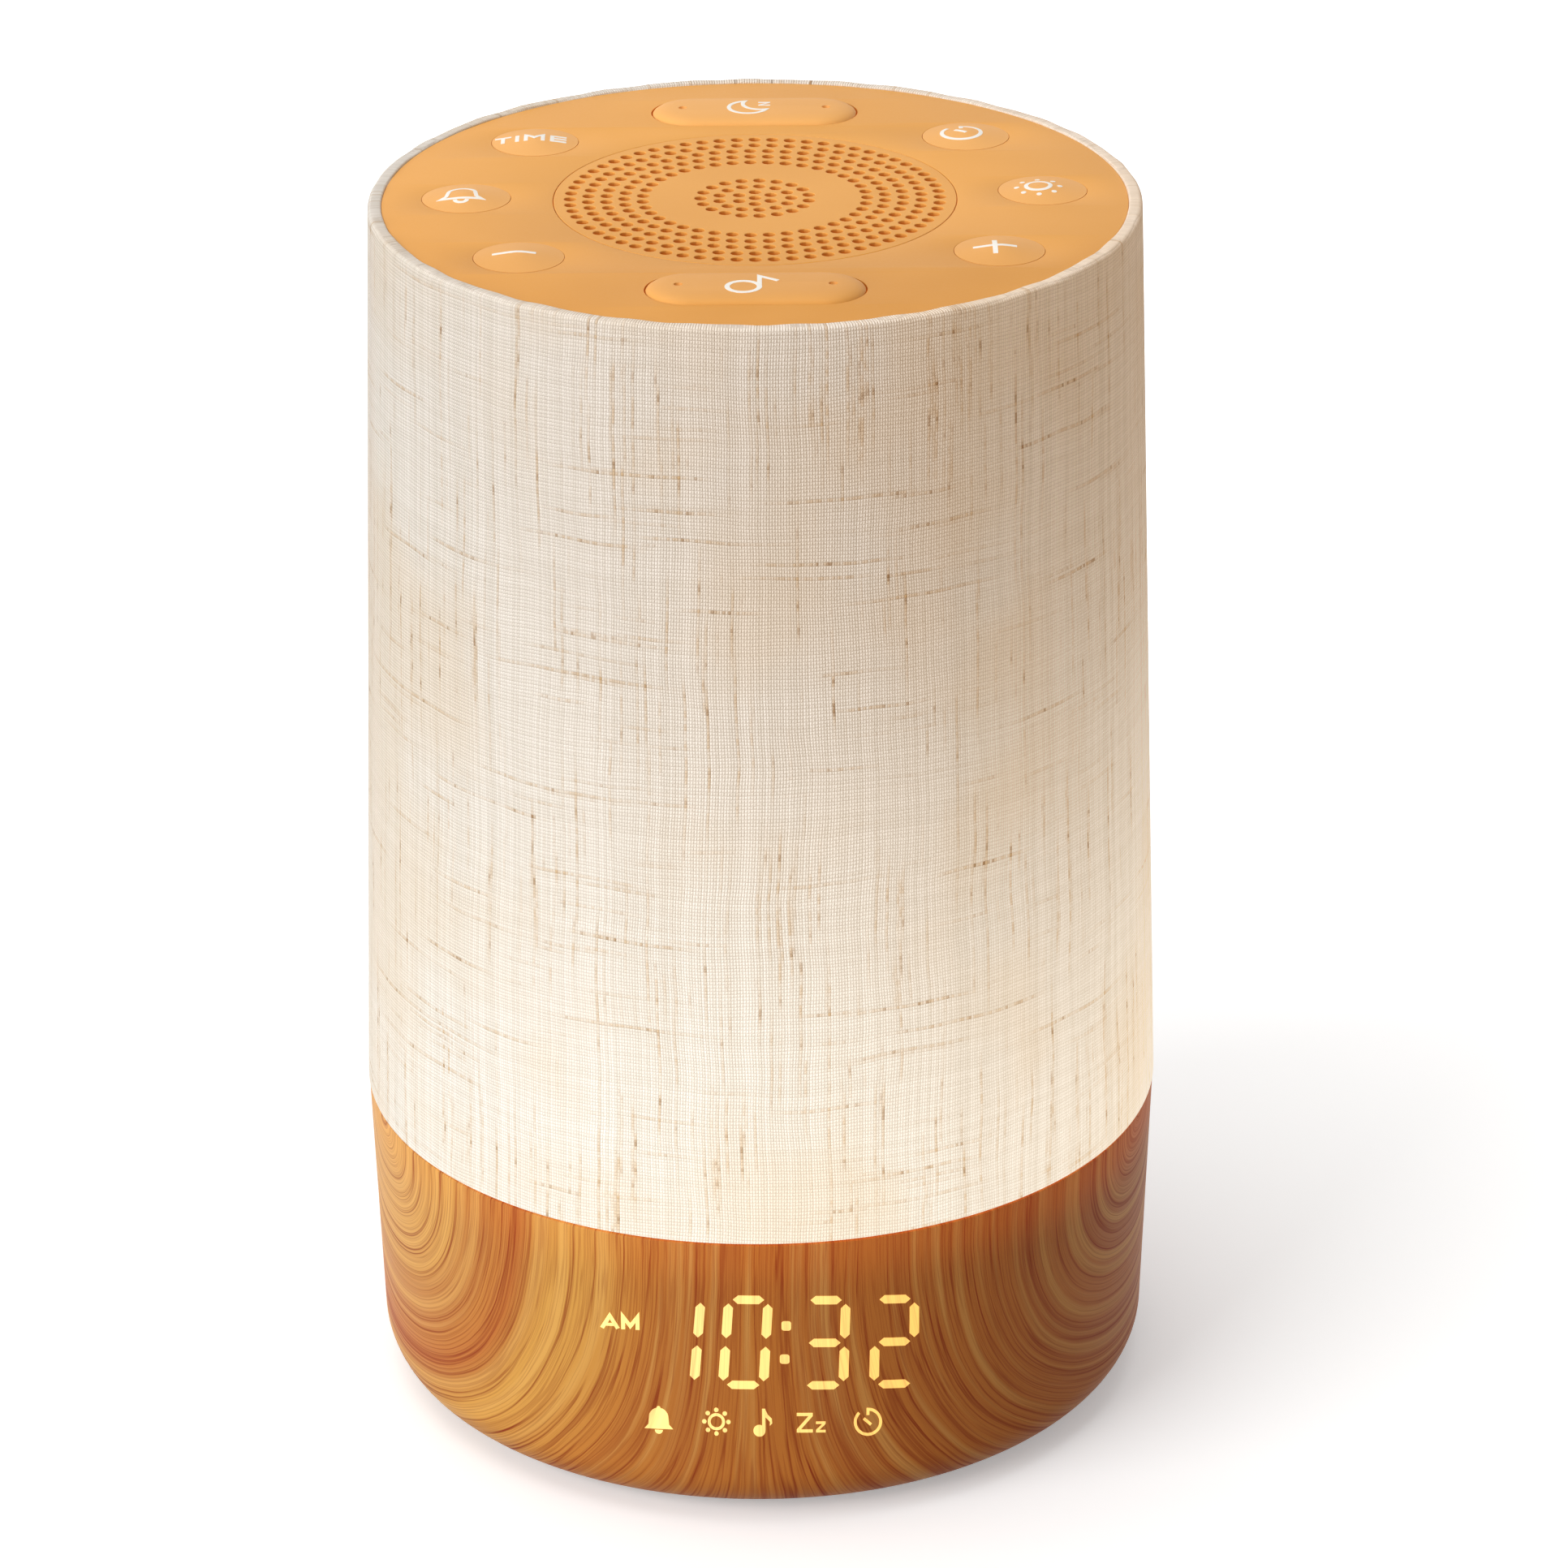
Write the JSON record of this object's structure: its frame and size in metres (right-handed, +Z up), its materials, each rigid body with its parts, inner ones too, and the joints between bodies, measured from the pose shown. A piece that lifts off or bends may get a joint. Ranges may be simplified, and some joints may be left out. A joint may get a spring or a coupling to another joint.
{
  "type": "white noise sound machine",
  "caption": "Round bedside white noise machine with a lit linen-covered body, a keyed top with a speaker grille, and a wood-grain base with a clock.",
  "frame": {"origin": "on the table under the middle of the base, at the underside of the feet", "axes": "+Z up along the body, -Y towards the clock, +Y towards the power inlet"},
  "size_m": [0.102, 0.102, 0.159],
  "materials": {
    "linen": "plain woven linen with slub threads",
    "diffuser": "milky translucent",
    "orange_panel": "satin",
    "orange_key": "satin with white print",
    "wood_grain": "satin wood-grain film",
    "white_plastic": "matte moulded",
    "circuit_board": "green solder mask",
    "black_plastic": "matte moulded",
    "steel": "nickel plated",
    "foam": "closed-cell foam",
    "silicone": "matte",
    "magnet": "dark ferrite and plate",
    "led_lens": "warm white",
    "light_guide": "white light guide",
    "ribbon": "flat flexible cable"
  },
  "bodies": {
    "root": {"fabric_cover": "linen", "diffuser_tube": "diffuser", "top_panel": "orange_panel", "speaker_grille": "orange_panel", "rocker_pins": "steel", "key_board": "circuit_board", "tact_switches": "black_plastic", "speaker_gasket": "foam", "speaker_basket": "black_plastic", "speaker_motor": "magnet", "speaker_box": "white_plastic", "speaker_screws": "steel", "light_column": "white_plastic", "led_board": "circuit_board", "leds": "led_lens", "base_deck": "white_plastic", "base_shell": "wood_grain", "bottom_cover": "black_plastic", "feet": "silicone", "base_screws": "steel", "main_board": "circuit_board", "board_screws": "steel", "board_parts": "black_plastic", "usb_socket": "steel", "display_block": "light_guide", "display_board": "circuit_board", "key_ribbon": "ribbon"},
    "power_button": {"power_key": "orange_key", "power_plunger": "black_plastic"},
    "light_button": {"light_key": "orange_key", "light_plunger": "black_plastic"},
    "plus_button": {"plus_key": "orange_key", "plus_plunger": "black_plastic"},
    "time_button": {"time_key": "orange_key", "time_plunger": "black_plastic"},
    "alarm_button": {"alarm_key": "orange_key", "alarm_plunger": "black_plastic"},
    "minus_button": {"minus_key": "orange_key", "minus_plunger": "black_plastic"},
    "sleep_rocker": {"sleep_rocker": "orange_key"},
    "sound_rocker": {"sound_rocker": "orange_key"},
    "diaphragm": {"speaker_diaphragm": "black_plastic"}
  },
  "joints": [
    {"name": "power_press", "type": "slide", "parent": "root", "child": "power_button", "axis": [0, 0, -1], "range_m": [0, 0.0005], "stiffness_N_per_m": 400, "springref_m": -0.001},
    {"name": "light_press", "type": "slide", "parent": "root", "child": "light_button", "axis": [0, 0, -1], "range_m": [0, 0.0005], "stiffness_N_per_m": 400, "springref_m": -0.001},
    {"name": "plus_press", "type": "slide", "parent": "root", "child": "plus_button", "axis": [0, 0, -1], "range_m": [0, 0.0005], "stiffness_N_per_m": 400, "springref_m": -0.001},
    {"name": "time_press", "type": "slide", "parent": "root", "child": "time_button", "axis": [0, 0, -1], "range_m": [0, 0.0005], "stiffness_N_per_m": 400, "springref_m": -0.001},
    {"name": "alarm_press", "type": "slide", "parent": "root", "child": "alarm_button", "axis": [0, 0, -1], "range_m": [0, 0.0005], "stiffness_N_per_m": 400, "springref_m": -0.001},
    {"name": "minus_press", "type": "slide", "parent": "root", "child": "minus_button", "axis": [0, 0, -1], "range_m": [0, 0.0005], "stiffness_N_per_m": 400, "springref_m": -0.001},
    {"name": "sleep_tilt", "type": "hinge", "parent": "root", "child": "sleep_rocker", "pos_m": [0, 0.0335, 0.155], "axis": [0, 1, 0], "range_deg": [-2, 2], "stiffness_Nm_per_rad": 0.2},
    {"name": "sound_tilt", "type": "hinge", "parent": "root", "child": "sound_rocker", "pos_m": [0, -0.03305, 0.155], "axis": [0, 1, 0], "range_deg": [-2, 2], "stiffness_Nm_per_rad": 0.2},
    {"name": "diaphragm_travel", "type": "slide", "parent": "root", "child": "diaphragm", "axis": [0, 0, 1], "range_m": [-0.0008, 0.0008], "stiffness_N_per_m": 1000}
  ]
}
